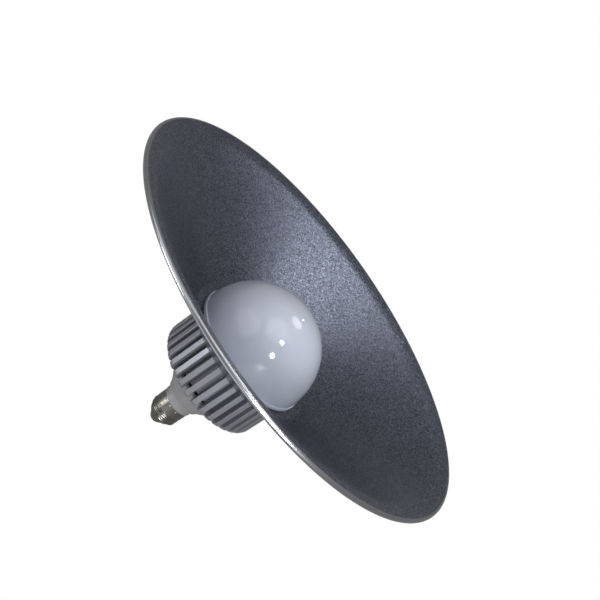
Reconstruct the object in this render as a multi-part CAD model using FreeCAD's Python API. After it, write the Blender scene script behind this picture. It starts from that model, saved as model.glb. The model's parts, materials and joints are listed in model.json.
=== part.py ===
"""High bay light: an LED lamp with a screw cap, a finned heat sink, a milky dome and a wide spun shade.

Millimetres, +Z towards the screw cap. The origin is on the lamp's axis in the plane of the shade's
mouth, so the lamp stands on its rim and hangs by its cap. Each sub-part has one short function, and
the table at the end writes one STEP file for each.
"""
import FreeCAD
import Part
import math
import os

os.makedirs("parts", exist_ok=True)

# ---------------------------------------------------------------- reflector shade (spun sheet)
SHADE_R = 175.0  # outer radius, over the rolled bead
SHADE_SHEET = 1.0  # sheet thickness
SHADE_DEPTH = 61.0  # mouth plane to the face that seats on the heat sink
BEAD_R = 2.0  # radius of the rolled bead's section
FLARE_WIDTH = 12.0  # flatter lip along the mouth
FLARE_SLOPE = 14.0  # degrees that the lip rises towards the axis
FLARE_BEND = 30.0  # inside bend between lip and flank
HUB_MARGIN = 3.8  # flat hub beyond the dome's flange
HUB_BEND = 5.0  # inside bend between hub and flank
SHADE_BORE_R = 37.5  # opening in the hub, round the LED board

# ---------------------------------------------------------------- heat sink (one casting)
FIN_COUNT = 35
SINK_R = 50.0  # outer radius of the flange
FIN_STEP = 0.3  # from the flange's edge in to the fins
FIN_LEAN = 0.6  # degrees that the fins lean in towards the cap
FIN_ROOT_R = 41.5  # outer radius of the core, the floor of the slots
FIN_TIP_THICK = 4.2
FIN_DRAFT = 1.0  # degrees on each side of a fin
FIN_BEVEL = 0.5  # bevel of a fin's two outer edges
FIN_SHOULDER_R = 5.5  # rounding of a fin's upper outer corner
FIN_RISE = 7.0  # height of the fins above the core
FLANGE_THICK = 3.0  # flange that closes the slots at the shade
CORE_HEIGHT = 35.0
CORE_BORE_R = 37.0
DISC_THICK = 5.0  # wall between the driver and the LED board

# ---------------------------------------------------------------- neck housing (moulded)
NECK_GAP = 0.5  # clearance between the brim and the fins round it
VENT_GAP = 2.5  # height of the air gap under the brim
NECK_WALL = 2.0
BRIM_THICK = 1.6  # upright edge of the brim
NECK_HEIGHT = 36.0  # brim's underside to the screw shell
COLLAR_STEP = 0.5  # collar beyond the screw shell's skirt
COLLAR_HEIGHT = 5.5
NECK_STEP = 2.8  # shoulder beyond the collar
NECK_BAND = 2.2  # height of the upright band below the shoulder
NECK_SHOULDER_R = 1.9  # rounding of the shoulder
NECK_SAG = 1.0  # hollow of the cone below a straight line
SPIGOT_DEPTH = 18.5  # skirt that plugs into the driver cup
SPIGOT_WALL = 1.6
FOOT_COUNT = 4
FOOT_WIDTH = 6.0
FOOT_LENGTH = 3.0

# ---------------------------------------------------------------- screw cap, E27
SHELL_SKIRT_R = 13.2
SHELL_SKIRT_HEIGHT = 8.2
SHELL_WALL = 0.5
THREAD_PITCH = 3.629
THREAD_CREST_R = 13.1
THREAD_ROOT_R = 11.95
SHELL_TURNS = 2.2  # turns of thread below the closed-in end
SHELL_END_R = 9.8
SHELL_TAPER = 3.8  # height over which the shell closes in
CAP_TOTAL_HEIGHT = 26.5  # skirt edge to the top of the centre contact
CONTACT_R = 4.3
CONTACT_THICK = 1.5

# ---------------------------------------------------------------- dome, seal and LED board
DOME_OVERHANG = 2.3  # dome beyond the heat sink's flange
DOME_WALL = 1.8
DOME_LIP = 0.9  # flange beyond the dome
DOME_FLANGE_THICK = 2.6
DOME_FLANGE_WIDTH = 4.2  # flange's edge in to its bore
SEAL_THICK = 0.8
LED_BOARD_R = 34.0
LED_BOARD_THICK = 1.6
THERMAL_PAD_THICK = 0.4
CHIP_LENGTH = 5.6
CHIP_WIDTH = 3.0
CHIP_THICK = 0.8
CHIP_RING_R = 9.0  # innermost ring of chips
CHIP_RING_STEP = 8.0
CHIP_RING_COUNTS = (6, 12, 18)

# ---------------------------------------------------------------- driver
CUP_WALL = 1.2
CUP_HEIGHT = 20.0
CUP_CLEARANCE = 0.2
BOARD_THICK = 1.6
BOARD_LEDGE = 6.0  # cup floor to the board's underside
LEDGE_WIDTH = 1.4
TRANSFORMER = (20.0, 8.0, 17.0)  # length, width and height of its core
TRANSFORMER_AT = (4.0, -7.0)
TRANSFORMER_LEG_R = 3.0
TRANSFORMER_YOKE = 3.6
TRANSFORMER_SIDE = 2.6
COIL_GAP = 0.3  # between the winding and the core round it
INPUT_CAPACITOR = (6.5, 22.0, (-17.0, 8.0))  # radius, height and place on the board
OUTPUT_CAPACITOR = (5.0, 18.0, (18.0, 8.0))
INDUCTOR = (4.5, 10.0, (-15.0, -10.0))
RECTIFIER = (8.0, 4.0, 6.0, (-2.0, 15.0))  # length, width, height and place
TRANSISTOR = (10.0, 4.4, 14.0, (10.0, -23.0))
CONTROL_CHIP = (5.0, 4.0, 1.5, (-8.0, -22.0))
FUSE_RESISTOR = (1.8, 9.0, (10.0, 20.0))
FUSE_LEG_R = 0.35
WIRE_R = 0.8
LIVE_PAD = (-8.0, 22.0)
NEUTRAL_PAD = (13.0, 25.0)
LED_WIRE_SPACING = 2.0
LED_WIRE_REACH = 6.0
WIRE_HOLE_R = 2.6

# ---------------------------------------------------------------- screws
SCREW_R = 1.5
SCREW_HEAD_R = 2.6
SCREW_HEAD = 1.8
THREAD_FIT = 0.05  # round a screw in its hole
HEAD_FIT = 0.3  # round a head in its counterbore
SLOT_WIDTH = 0.8
SLOT_DEPTH = 0.8
BOSS_R = 3.6
BOSS_CIRCLE = 31.0
BOSS_ANGLES = (90.0, 210.0, 330.0)
HOUSING_SCREW_LENGTH = 16.0
BOARD_SCREW_LENGTH = 4.5
BOARD_SCREW_ANGLES = (30.0, 150.0, 270.0)
SHADE_SCREW_LENGTH = 3.5
SHADE_SCREW_CIRCLE = 41.0
SHADE_SCREW_ANGLES = (30.0, 150.0, 270.0)
HOLE_SPARE = 0.5  # blind hole beyond the screw's end

# ---------------------------------------------------------------- heights that follow from these
SEAT_Z = SHADE_DEPTH
DISC_TOP = SEAT_Z + DISC_THICK
CORE_TOP = SEAT_Z + CORE_HEIGHT
FIN_TOP = CORE_TOP + FIN_RISE
BRIM_Z = CORE_TOP + VENT_GAP
CAP_Z = BRIM_Z + NECK_HEIGHT
FIN_TIP_R = SINK_R - FIN_STEP
FIN_INNER_R = FIN_ROOT_R - FIN_BEVEL  # where a fin is bedded in the core
BRIM_R = FIN_ROOT_R - NECK_GAP
COLLAR_R = SHELL_SKIRT_R + COLLAR_STEP
NECK_TOP_R = COLLAR_R + NECK_STEP
CUP_R = CORE_BORE_R - CUP_CLEARANCE
CUP_FLOOR = DISC_TOP + CUP_WALL
SPIGOT_R = CUP_R - CUP_WALL - CUP_CLEARANCE
BOARD_Z = CUP_FLOOR + BOARD_LEDGE
BOARD_TOP = BOARD_Z + BOARD_THICK
DRIVER_BOARD_R = CUP_R - CUP_WALL - CUP_CLEARANCE
DOME_R = SINK_R + DOME_OVERHANG
DOME_FLANGE_R = DOME_R + DOME_LIP
DOME_FLANGE_BORE_R = DOME_FLANGE_R - DOME_FLANGE_WIDTH
HUB_R = DOME_FLANGE_R + HUB_MARGIN
HUB_FACE = SEAT_Z - SHADE_SHEET
DOME_FACE = HUB_FACE - SEAL_THICK
DOME_Z = DOME_FACE - DOME_FLANGE_THICK
PAD_FACE = SEAT_Z - THERMAL_PAD_THICK
LED_FACE = PAD_FACE - LED_BOARD_THICK
THREAD_Z = CAP_Z + SHELL_SKIRT_HEIGHT
TAPER_Z = THREAD_Z + SHELL_TURNS * THREAD_PITCH
SHELL_TOP = TAPER_Z + SHELL_TAPER
CAP_TOP = CAP_Z + CAP_TOTAL_HEIGHT
SHELL_BORE_R = THREAD_ROOT_R - SHELL_WALL
SKIRT_BORE_R = SHELL_SKIRT_R - SHELL_WALL
PLUG_R = SHELL_BORE_R - THREAD_FIT
UP = FreeCAD.Vector(0, 0, 1)
ORIGIN = FreeCAD.Vector(0, 0, 0)


# ---------------------------------------------------------------- helpers
def at(r, z):
    """A point of a section, in the half plane through +X."""
    return FreeCAD.Vector(r, 0, z)


def spun(edges):
    """The solid that a closed section sweeps about the axis."""
    face = Part.Face(Part.Wire(edges))
    return face.revolve(ORIGIN, UP, 360)


def lathe(*points):
    """A turned solid from the corners (r, z) of its section."""
    corners = [at(r, z) for r, z in points]
    closed = corners + corners[:1]
    return spun([Part.LineSegment(a, b).toShape() for a, b in zip(closed, closed[1:])])


def rod(radius, z_low, z_high, x=0.0, y=0.0):
    return Part.makeCylinder(radius, z_high - z_low, FreeCAD.Vector(x, y, z_low))


def tube(outer, inner, z_low, z_high, x=0.0, y=0.0):
    return rod(outer, z_low, z_high, x, y).cut(rod(inner, z_low, z_high, x, y))


def block(length, width, z_low, z_high, x=0.0, y=0.0):
    corner = FreeCAD.Vector(x - length / 2, y - width / 2, z_low)
    return Part.makeBox(length, width, z_high - z_low, corner)


def turned(shape, degrees):
    copy = shape.copy()
    copy.rotate(ORIGIN, UP, degrees)
    return copy


def ring_of(shape, angles):
    """Copies of a shape that was made on +X, turned to each of the angles."""
    return [turned(shape, angle) for angle in angles]


def even_angles(count, start=0.0):
    return [start + 360.0 * i / count for i in range(count)]


def fused(first, others):
    return first.multiFuse(others).removeSplitter()


def circles_at(shape, radius, height):
    """The full-circle edges of a turned solid that lie at one radius and height."""
    found = []
    for edge in shape.Edges:
        is_circle = isinstance(edge.Curve, Part.Circle)
        if is_circle and abs(edge.Curve.Radius - radius) < 1e-4 and abs(edge.Curve.Center.z - height) < 1e-4:
            found.append(edge)
    return found


def screw(length):
    """A slotted pan-head screw on the axis: head below z = 0, shank up to z = length."""
    head = rod(SCREW_HEAD_R, -SCREW_HEAD, 0)
    head = head.makeChamfer(SCREW_HEAD / 3, circles_at(head, SCREW_HEAD_R, -SCREW_HEAD))
    shank = rod(SCREW_R, 0, length)
    shank = shank.makeChamfer(SCREW_R / 3, circles_at(shank, SCREW_R, length))
    slot = block(2 * SCREW_HEAD_R, SLOT_WIDTH, -SCREW_HEAD, SLOT_DEPTH - SCREW_HEAD)
    return head.fuse(shank).removeSplitter().cut(slot)


def screws(length, circle, z, angles):
    one = screw(length)
    one.translate(at(circle, z))
    return Part.makeCompound(ring_of(one, angles))


def screw_holes(z_low, z_high, circle, angles):
    """What is cut for a ring of screws."""
    return ring_of(rod(SCREW_R + THREAD_FIT, z_low, z_high, circle), angles)


def bent_wire(radius, points, bend):
    """A round wire along straight runs joined by tangent arcs of one radius."""
    route = [FreeCAD.Vector(*p) for p in points]
    edges = []
    start = route[0]
    for before, corner, after in zip(route, route[1:], route[2:]):
        back = (before - corner).normalize()
        ahead = (after - corner).normalize()
        half = back.getAngle(ahead) / 2
        setback = bend / math.tan(half)
        middle = (back + ahead).normalize() * (bend / math.sin(half) - bend)
        entry = corner + back * setback
        leave = corner + ahead * setback
        edges.append(Part.LineSegment(start, entry).toShape())
        edges.append(Part.Arc(entry, corner + middle, leave).toShape())
        start = leave
    edges.append(Part.LineSegment(start, route[-1]).toShape())
    section = Part.Wire(Part.makeCircle(radius, route[0], route[1] - route[0]))
    return Part.Wire(edges).makePipeShell([section], True, False)


# ---------------------------------------------------------------- shade
def reflector_shade():
    """Flat hub, straight flank, a flatter lip and a bead rolled outwards at the mouth."""
    slope = math.radians(FLARE_SLOPE)
    bead = at(SHADE_R - BEAD_R, BEAD_R)
    wrap = math.acos(1 - SHADE_SHEET / BEAD_R)
    lip_normal = at(math.sin(slope), math.cos(slope))

    def on_bead(angle):
        return bead + at(math.cos(angle), math.sin(angle)) * BEAD_R

    inner_end = on_bead(-0.5 * math.pi - slope)
    outer_end = on_bead(-0.5 * math.pi - slope - wrap)
    inner_knee = inner_end + at(-math.cos(slope), math.sin(slope)) * FLARE_WIDTH
    inner_hub = at(HUB_R, HUB_FACE)
    rise = math.atan2(inner_hub.z - inner_knee.z, inner_knee.x - inner_hub.x)
    outer_hub = at(HUB_R + SHADE_SHEET * math.tan(rise / 2), SEAT_Z)
    knee_shift = SHADE_SHEET * math.tan((rise - slope) / 2)
    outer_knee = inner_knee + lip_normal * SHADE_SHEET + at(math.cos(slope), -math.sin(slope)) * knee_shift
    start, turn = -0.5 * math.pi - slope, 2 * math.pi - wrap
    beads = [
        Part.Arc(*(on_bead(start + turn * (third + step) / 3) for step in (0.0, 0.5, 1.0))).toShape()
        for third in range(3)
    ]
    section = [
        Part.LineSegment(at(SHADE_BORE_R, HUB_FACE), inner_hub).toShape(),
        Part.LineSegment(inner_hub, inner_knee).toShape(),
        Part.LineSegment(inner_knee, inner_end).toShape(),
        *beads,
        Part.LineSegment(outer_end, outer_knee).toShape(),
        Part.LineSegment(outer_knee, outer_hub).toShape(),
        Part.LineSegment(outer_hub, at(SHADE_BORE_R, SEAT_Z)).toShape(),
        Part.LineSegment(at(SHADE_BORE_R, SEAT_Z), at(SHADE_BORE_R, HUB_FACE)).toShape(),
    ]
    shade = spun(section)
    bends = (
        (HUB_BEND, inner_hub), (HUB_BEND + SHADE_SHEET, outer_hub),
        (FLARE_BEND + SHADE_SHEET, inner_knee), (FLARE_BEND, outer_knee),
    )
    for radius, corner in bends:
        shade = shade.makeFillet(radius, circles_at(shade, corner.x, corner.z))
    return shade.cut(Part.makeCompound(screw_holes(HUB_FACE, SEAT_Z, SHADE_SCREW_CIRCLE, SHADE_SCREW_ANGLES)))


# ---------------------------------------------------------------- heat sink
def fin():
    """One fin on +X: a shouldered profile cut to a drafted, bevelled bar."""
    half_tip = FIN_TIP_THICK / 2
    half_root = half_tip + (FIN_TIP_R - FIN_INNER_R) * math.tan(math.radians(FIN_DRAFT))
    corners = [
        FreeCAD.Vector(FIN_INNER_R, -half_root, SEAT_Z),
        FreeCAD.Vector(FIN_TIP_R - FIN_BEVEL, -half_tip, SEAT_Z),
        FreeCAD.Vector(FIN_TIP_R, FIN_BEVEL - half_tip, SEAT_Z),
        FreeCAD.Vector(FIN_TIP_R, half_tip - FIN_BEVEL, SEAT_Z),
        FreeCAD.Vector(FIN_TIP_R - FIN_BEVEL, half_tip, SEAT_Z),
        FreeCAD.Vector(FIN_INNER_R, half_root, SEAT_Z),
    ]
    bar = Part.Face(Part.makePolygon(corners + corners[:1])).extrude(UP * (FIN_TOP - SEAT_Z))
    return bar.common(fin_profile())


def fin_profile():
    """Side view of a fin across its full width: a slight lean and a round shoulder, clear of the brim."""
    shoulder_z = FIN_TOP - FIN_SHOULDER_R
    shoulder_r = FIN_TIP_R - math.tan(math.radians(FIN_LEAN)) * (shoulder_z - SEAT_Z)
    centre = at(shoulder_r - FIN_SHOULDER_R, shoulder_z)
    corners = [at(FIN_ROOT_R, FIN_TOP), at(FIN_ROOT_R, CORE_TOP), at(FIN_INNER_R, CORE_TOP)]
    corners += [at(FIN_INNER_R, SEAT_Z), at(FIN_TIP_R, SEAT_Z), at(shoulder_r, shoulder_z)]
    edges = [Part.LineSegment(a, b).toShape() for a, b in zip(corners, corners[1:])]
    bulge = centre + at(1, 1).normalize() * FIN_SHOULDER_R
    edges.append(Part.Arc(corners[-1], bulge, centre + UP * FIN_SHOULDER_R).toShape())
    edges.append(Part.LineSegment(centre + UP * FIN_SHOULDER_R, corners[0]).toShape())
    side = Part.Face(Part.Wire(edges))
    width = 2 * FIN_TIP_THICK
    side.translate(FreeCAD.Vector(0, -width / 2, 0))
    return side.extrude(FreeCAD.Vector(0, width, 0))


def heat_sink():
    """Cup-shaped core with a flange at the shade and a ring of fins."""
    core = lathe(
        (0, SEAT_Z), (SINK_R, SEAT_Z), (SINK_R, SEAT_Z + FLANGE_THICK),
        (FIN_ROOT_R, SEAT_Z + FLANGE_THICK), (FIN_ROOT_R, CORE_TOP), (CORE_BORE_R, CORE_TOP),
        (CORE_BORE_R, DISC_TOP), (0, DISC_TOP),
    )
    fins = ring_of(fin(), even_angles(FIN_COUNT, -90.0))
    sink = fused(core, fins)
    counterbore = rod(SCREW_HEAD_R + HEAD_FIT, SEAT_Z, SEAT_Z + SCREW_HEAD + HEAD_FIT, BOSS_CIRCLE)
    cuts = ring_of(counterbore, BOSS_ANGLES)
    cuts += screw_holes(SEAT_Z, DISC_TOP, BOSS_CIRCLE, BOSS_ANGLES)
    board_screw_end = LED_FACE + BOARD_SCREW_LENGTH + HOLE_SPARE
    cuts += screw_holes(SEAT_Z, board_screw_end, BOSS_CIRCLE, BOARD_SCREW_ANGLES)
    shade_screw_end = HUB_FACE + SHADE_SCREW_LENGTH
    cuts += screw_holes(SEAT_Z, shade_screw_end, SHADE_SCREW_CIRCLE, SHADE_SCREW_ANGLES)
    cuts.append(rod(WIRE_HOLE_R, SEAT_Z, DISC_TOP))
    return sink.cut(Part.makeCompound(cuts))


# ---------------------------------------------------------------- neck housing
def cone_arc(foot, top, sag):
    """A hollow arc between two points of a section, sagging below the straight line."""
    along = (top - foot).normalize()
    outward = at(along.z, -along.x)
    return Part.Arc(foot, (foot + top) * 0.5 - outward * sag, top).toShape()


def neck_housing():
    """Hollow cone from the brim to the collar, with the plug for the shell and the spigot below."""
    collar_z = CAP_Z - COLLAR_HEIGHT
    brim_edge = at(BRIM_R, BRIM_Z + BRIM_THICK)
    cone_top = at(NECK_TOP_R, collar_z - NECK_BAND)
    band_top = at(NECK_TOP_R, collar_z)
    plug_top = THREAD_Z + THREAD_PITCH
    outer = spun([
        Part.LineSegment(at(0, BRIM_Z), at(BRIM_R, BRIM_Z)).toShape(),
        Part.LineSegment(at(BRIM_R, BRIM_Z), brim_edge).toShape(),
        cone_arc(brim_edge, cone_top, NECK_SAG),
        Part.LineSegment(cone_top, band_top).toShape(),
        Part.LineSegment(band_top, at(COLLAR_R, collar_z)).toShape(),
        Part.LineSegment(at(COLLAR_R, collar_z), at(COLLAR_R, CAP_Z)).toShape(),
        Part.LineSegment(at(COLLAR_R, CAP_Z), at(0, CAP_Z)).toShape(),
        Part.LineSegment(at(0, CAP_Z), at(0, BRIM_Z)).toShape(),
    ])
    outer = outer.makeFillet(NECK_SHOULDER_R, circles_at(outer, NECK_TOP_R, collar_z))
    spigot_bore_r = SPIGOT_R - SPIGOT_WALL
    bore_r = PLUG_R - NECK_WALL
    hollow_foot = at(spigot_bore_r, BRIM_Z)
    hollow_top = at(NECK_TOP_R - NECK_WALL, cone_top.z - NECK_WALL)
    hollow = spun([
        Part.LineSegment(at(0, BRIM_Z), hollow_foot).toShape(),
        cone_arc(hollow_foot, hollow_top, NECK_SAG),
        Part.LineSegment(hollow_top, at(0, hollow_top.z)).toShape(),
        Part.LineSegment(at(0, hollow_top.z), at(0, BRIM_Z)).toShape(),
    ])
    boss = rod(BOSS_R, CUP_FLOOR, CAP_Z, BOSS_CIRCLE)
    reach = outer.fuse(rod(SPIGOT_R, CUP_FLOOR, BRIM_Z))
    bosses = [piece.common(reach) for piece in ring_of(boss, BOSS_ANGLES)]
    foot = block(FOOT_LENGTH, FOOT_WIDTH, CORE_TOP, BRIM_Z, (CORE_BORE_R + BRIM_R) / 2)
    feet = ring_of(foot, even_angles(FOOT_COUNT, 45.0))
    plug = rod(PLUG_R, CAP_Z, plug_top)
    land = rod(SKIRT_BORE_R - THREAD_FIT, CAP_Z, THREAD_Z - SHELL_WALL - THREAD_FIT)
    spigot = tube(SPIGOT_R, spigot_bore_r, BRIM_Z - SPIGOT_DEPTH, BRIM_Z)
    housing = fused(outer.cut(hollow), [spigot, plug, land] + bosses + feet)
    pilots = screw_holes(CUP_FLOOR, SEAT_Z + SCREW_HEAD + HOUSING_SCREW_LENGTH + HOLE_SPARE,
                         BOSS_CIRCLE, BOSS_ANGLES)
    bore = rod(bore_r, hollow_top.z, plug_top)
    return housing.cut(Part.makeCompound(pilots + [bore]))


# ---------------------------------------------------------------- screw cap
def thread_rings():
    """Section points of the thread zone: one ring of the thread's pitch and depth for each whole turn."""
    points = []
    for turn in range(int(SHELL_TURNS)):
        low = THREAD_Z + turn * THREAD_PITCH
        flank = ((THREAD_ROOT_R, 0.12), (THREAD_CREST_R, 0.4), (THREAD_CREST_R, 0.6), (THREAD_ROOT_R, 0.88))
        points += [(radius, low + part * THREAD_PITCH) for radius, part in flank]
    return points


def screw_shell():
    """E27 shell: plain skirt, ringed thread and a closed-in end."""
    core = lathe(
        (0, CAP_Z), (SHELL_SKIRT_R, CAP_Z), (SHELL_SKIRT_R, THREAD_Z), *thread_rings(),
        (THREAD_ROOT_R, TAPER_Z), (SHELL_END_R, SHELL_TOP), (0, SHELL_TOP),
    )
    inside = lathe(
        (0, CAP_Z), (SKIRT_BORE_R, CAP_Z), (SKIRT_BORE_R, THREAD_Z - SHELL_WALL),
        (SHELL_BORE_R, THREAD_Z - SHELL_WALL), (SHELL_BORE_R, TAPER_Z),
        (SHELL_END_R - SHELL_WALL, SHELL_TOP), (0, SHELL_TOP),
    )
    return core.cut(inside)


def cap_insulator():
    """Glass cone between the shell's closed-in end and the centre contact."""
    top = CAP_TOP - CONTACT_THICK
    seat_r = SHELL_END_R - SHELL_WALL
    lead_r = WIRE_R + THREAD_FIT
    return lathe(
        (lead_r, TAPER_Z), (SHELL_BORE_R, TAPER_Z), (seat_r, SHELL_TOP),
        (CONTACT_R + 1, top), (lead_r, top),
    )


def centre_contact():
    """Domed contact button."""
    low = CAP_TOP - CONTACT_THICK
    button = rod(CONTACT_R, low, CAP_TOP)
    return button.makeFillet(CONTACT_THICK / 2, circles_at(button, CONTACT_R, CAP_TOP))


# ---------------------------------------------------------------- dome and LED board
def dome_diffuser():
    """Hemisphere with a flat base flange."""
    outer = Part.makeSphere(DOME_R, at(0, DOME_Z))
    inner = Part.makeSphere(DOME_R - DOME_WALL, at(0, DOME_Z))
    lower = rod(DOME_FLANGE_R + 1, DOME_Z - DOME_R - 1, DOME_Z)
    bowl = outer.cut(inner).common(lower)
    return bowl.fuse(tube(DOME_FLANGE_R, DOME_FLANGE_BORE_R, DOME_Z, DOME_FACE)).removeSplitter()


def dome_seal():
    return tube(DOME_R, DOME_FLANGE_BORE_R, DOME_FACE, HUB_FACE)


def board_cuts(z_low, z_high):
    cuts = screw_holes(z_low, z_high, BOSS_CIRCLE, BOARD_SCREW_ANGLES)
    return Part.makeCompound(cuts + [rod(WIRE_HOLE_R, z_low, z_high)])


def thermal_pad():
    return rod(LED_BOARD_R, PAD_FACE, SEAT_Z).cut(board_cuts(PAD_FACE, SEAT_Z))


def led_board():
    return rod(LED_BOARD_R, LED_FACE, PAD_FACE).cut(board_cuts(LED_FACE, PAD_FACE))


def led_chips():
    chips = []
    for ring, count in enumerate(CHIP_RING_COUNTS):
        radius = CHIP_RING_R + ring * CHIP_RING_STEP
        chip = block(CHIP_WIDTH, CHIP_LENGTH, LED_FACE - CHIP_THICK, LED_FACE, radius)
        chips += ring_of(chip, even_angles(count, 180.0 / count))
    return Part.makeCompound(chips)


# ---------------------------------------------------------------- driver
def driver_cup():
    """Insulating cup inside the core, with a ledge that carries the driver board."""
    cup = tube(CUP_R, CUP_R - CUP_WALL, DISC_TOP, DISC_TOP + CUP_HEIGHT)
    floor = rod(CUP_R, DISC_TOP, CUP_FLOOR)
    ledge = tube(CUP_R, CUP_R - CUP_WALL - LEDGE_WIDTH, CUP_FLOOR, BOARD_Z)
    room = [rod(BOSS_R + CUP_CLEARANCE, CUP_FLOOR, BOARD_Z, BOSS_CIRCLE)]
    cuts = ring_of(room[0], BOSS_ANGLES)
    cuts += screw_holes(DISC_TOP, CUP_FLOOR, BOSS_CIRCLE, BOSS_ANGLES)
    cuts.append(rod(WIRE_HOLE_R, DISC_TOP, CUP_FLOOR))
    return fused(cup, [floor, ledge]).cut(Part.makeCompound(cuts))


def driver_board():
    notches = ring_of(rod(BOSS_R + CUP_CLEARANCE, BOARD_Z, BOARD_TOP, BOSS_CIRCLE), BOSS_ANGLES)
    return rod(DRIVER_BOARD_R, BOARD_Z, BOARD_TOP).cut(Part.makeCompound(notches))


def transformer_core():
    """Two yokes, two side legs and the round middle leg."""
    length, width, height = TRANSFORMER
    x, y = TRANSFORMER_AT
    top = BOARD_TOP + height
    window_low = BOARD_TOP + TRANSFORMER_YOKE
    window_high = top - TRANSFORMER_YOKE
    window = block(length - 2 * TRANSFORMER_SIDE, width, window_low, window_high, x, y)
    frame = block(length, width, BOARD_TOP, top, x, y).cut(window)
    return frame.fuse(rod(TRANSFORMER_LEG_R, window_low, window_high, x, y)).removeSplitter()


def transformer_winding():
    length, _, height = TRANSFORMER
    outer = length / 2 - TRANSFORMER_SIDE - COIL_GAP
    low = BOARD_TOP + TRANSFORMER_YOKE
    high = BOARD_TOP + height - TRANSFORMER_YOKE
    return tube(outer, TRANSFORMER_LEG_R + COIL_GAP, low, high, *TRANSFORMER_AT)


def can(size):
    """A capacitor's can with a bevelled top and the groove of its crimp."""
    radius, height, (x, y) = size
    groove = radius / 10
    top = BOARD_TOP + height
    groove_z = BOARD_TOP + height / 6
    body = lathe(
        (0, BOARD_TOP), (radius, BOARD_TOP), (radius, groove_z - groove), (radius - groove, groove_z),
        (radius, groove_z + groove), (radius, top - groove), (radius - groove, top), (0, top),
    )
    body.translate(FreeCAD.Vector(x, y, 0))
    return body


def input_capacitor():
    return can(INPUT_CAPACITOR)


def output_capacitor():
    return can(OUTPUT_CAPACITOR)


def filter_inductor():
    """Drum core: the winding fills the waist between two cheeks."""
    radius, height, (x, y) = INDUCTOR
    cheek = height / 6
    drum = rod(radius, BOARD_TOP, BOARD_TOP + height, x, y)
    waist = tube(radius, radius * 0.88, BOARD_TOP + cheek, BOARD_TOP + height - cheek, x, y)
    return drum.cut(waist)


def boxed(size):
    length, width, height, (x, y) = size
    return block(length, width, BOARD_TOP, BOARD_TOP + height, x, y)


def bridge_rectifier():
    return boxed(RECTIFIER)


def switching_transistor():
    """Moulded body with its metal tab standing above it."""
    length, width, height, (x, y) = TRANSISTOR
    tab_low = BOARD_TOP + height * 0.6
    above = block(length, width * 0.7, tab_low, BOARD_TOP + height, x, y + width * 0.15)
    return boxed(TRANSISTOR).cut(above)


def control_chip():
    return boxed(CONTROL_CHIP)


def fuse_resistor():
    """Axial resistor held over the board on its two legs."""
    radius, length, (x, y) = FUSE_RESISTOR
    z = BOARD_TOP + 2 * radius
    body = Part.makeCylinder(radius, length, FreeCAD.Vector(x - length / 2, y, z), FreeCAD.Vector(1, 0, 0))
    reach = length / 2 + 2 * radius
    route = ((x - reach, y, BOARD_TOP), (x - reach, y, z), (x + reach, y, z), (x + reach, y, BOARD_TOP))
    return body.fuse(bent_wire(FUSE_LEG_R, route, radius / 2)).removeSplitter()


# ---------------------------------------------------------------- wires
def live_wire():
    """From the centre contact down the neck to the driver board."""
    x, y = LIVE_PAD
    turn_z = CAP_Z - COLLAR_HEIGHT
    low_z = BRIM_Z
    route = ((0, 0, CAP_TOP - CONTACT_THICK), (0, 0, turn_z), (x, y, low_z), (x, y, BOARD_TOP))
    return bent_wire(WIRE_R, route, 5.0)


def neutral_wire():
    """From the shell's bore, over the plug and down the neck to the driver board."""
    x, y = NEUTRAL_PAD
    plug_top = THREAD_Z + THREAD_PITCH
    over_z = plug_top + 2 * WIRE_R
    bore_r = PLUG_R - NECK_WALL
    inside = (0.0, bore_r * 0.6, over_z)
    route = (
        (0.0, SHELL_BORE_R - THREAD_FIT, over_z), inside,
        (0.0, bore_r * 0.6, BRIM_Z + NECK_HEIGHT / 2), (x, y, BRIM_Z), (x, y, BOARD_TOP),
    )
    return bent_wire(WIRE_R, route, 2.0)


def led_wire(side):
    """From the driver board's underside through the disc to the face of the LED board."""
    x = side * LED_WIRE_SPACING / 2
    face_z = LED_FACE - WIRE_R - THREAD_FIT
    route = ((x, 0, BOARD_Z), (x, 0, face_z), (side * LED_WIRE_REACH, 0, face_z))
    return bent_wire(WIRE_R, route, 2 * WIRE_R)


def led_wire_positive():
    return led_wire(1)


def led_wire_negative():
    return led_wire(-1)


# ---------------------------------------------------------------- screws
def housing_screws():
    z = SEAT_Z + SCREW_HEAD
    return screws(HOUSING_SCREW_LENGTH, BOSS_CIRCLE, z, BOSS_ANGLES)


def led_board_screws():
    return screws(BOARD_SCREW_LENGTH, BOSS_CIRCLE, LED_FACE, BOARD_SCREW_ANGLES)


def shade_screws():
    return screws(SHADE_SCREW_LENGTH, SHADE_SCREW_CIRCLE, HUB_FACE, SHADE_SCREW_ANGLES)


# ---------------------------------------------------------------- write every sub-part
SUB_PARTS = (
    screw_shell, cap_insulator, centre_contact, neck_housing, heat_sink, driver_cup,
    housing_screws, driver_board, transformer_core, transformer_winding, input_capacitor,
    output_capacitor, filter_inductor, bridge_rectifier, switching_transistor, control_chip,
    fuse_resistor, live_wire, neutral_wire, led_wire_positive, led_wire_negative, thermal_pad,
    led_board, led_chips, led_board_screws, reflector_shade, shade_screws, dome_seal,
    dome_diffuser,
)

for make in SUB_PARTS:
    shape = make()
    shape.exportStep(f"parts/{make.__name__}.step")
    print(make.__name__, len(shape.Solids), round(shape.Volume / 1000, 3), "cm3")
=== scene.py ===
import json
import math

import bmesh
import bpy
from bpy.props import FloatProperty, FloatVectorProperty, IntProperty, PointerProperty
from mathutils import Matrix, Vector


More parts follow.
